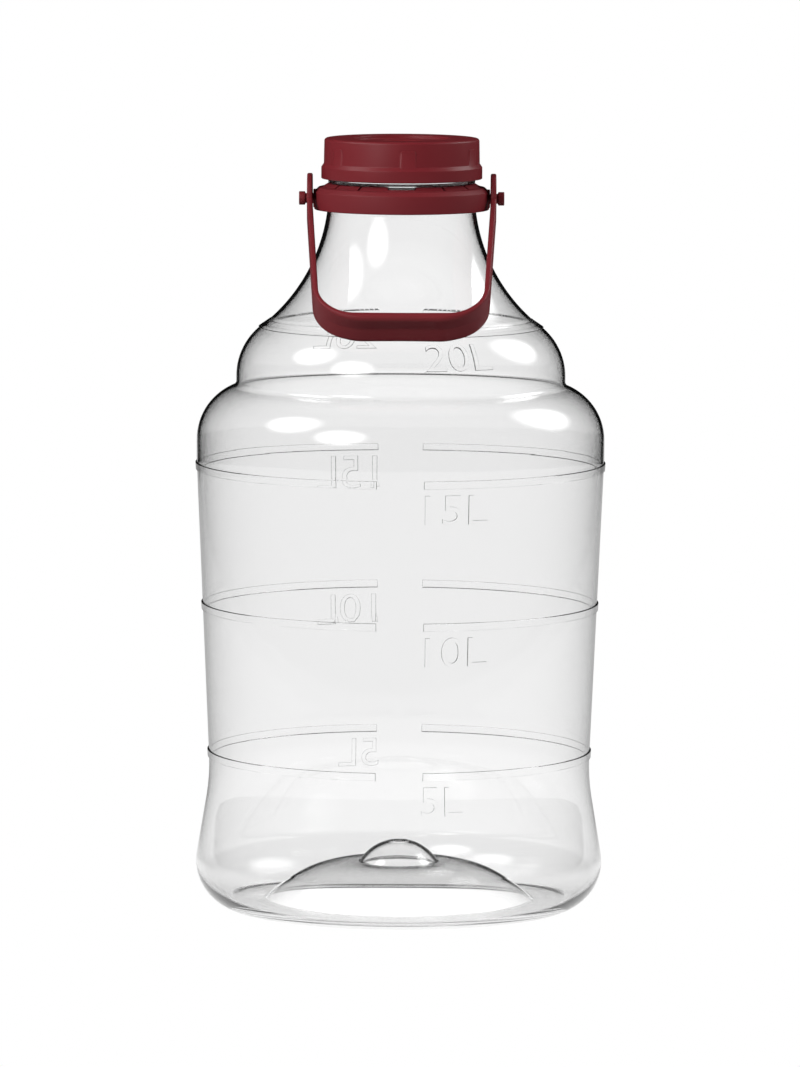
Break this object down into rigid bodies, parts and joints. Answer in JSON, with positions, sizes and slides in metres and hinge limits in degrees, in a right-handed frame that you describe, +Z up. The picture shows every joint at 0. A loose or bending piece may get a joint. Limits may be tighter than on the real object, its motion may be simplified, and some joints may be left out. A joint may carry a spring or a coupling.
{
  "type": "plastic carboy with screw cap and carry handle",
  "caption": "Clear blow-moulded carboy with litre bands, a wide screw cap with a bung bore, and a bail handle hooked on a clip-on neck collar.",
  "frame": {"origin": "centre of the foot ring, on the surface that the carboy stands on", "axes": "+Z up along the bottle's axis, -Y is the front, where the handle hangs at rest; X runs along the handle's pins"},
  "size_m": [0.2724, 0.2706, 0.512],
  "materials": {
    "clear_pet": "clear stretch-blown PET, polished inside and out",
    "burgundy_cap_plastic": "burgundy moulded polyethylene, satin gloss",
    "burgundy_handle_plastic": "burgundy moulded polypropylene, satin gloss",
    "gasket_foam": "off-white closed-cell foam liner"
  },
  "bodies": {
    "carboy": {"bottle": "clear_pet", "handle_collar": "burgundy_handle_plastic"},
    "gasket": {"cap_gasket": "gasket_foam"},
    "cap": {"screw_cap": "burgundy_cap_plastic"},
    "handle": {"carry_handle": "burgundy_handle_plastic"}
  },
  "joints": [
    {"name": "handle_swing", "type": "hinge", "parent": "carboy", "child": "handle", "pos_m": [0, 0, 0.472], "axis": [-1, 0, 0], "range_deg": [0, 254.57]},
    {"name": "cap_lift", "type": "slide", "parent": "carboy", "child": "gasket", "axis": [0, 0, 1], "range_m": [0, 0.0242]},
    {"name": "cap_turn", "type": "hinge", "parent": "gasket", "child": "cap", "pos_m": [0, 0, 0.5], "axis": [0, 0, 1], "range_deg": [0, 1440]}
  ],
  "couplings": [
    {"joint": "cap_lift", "follows": "cap_turn", "m_per_rad": 0.00095493}
  ]
}
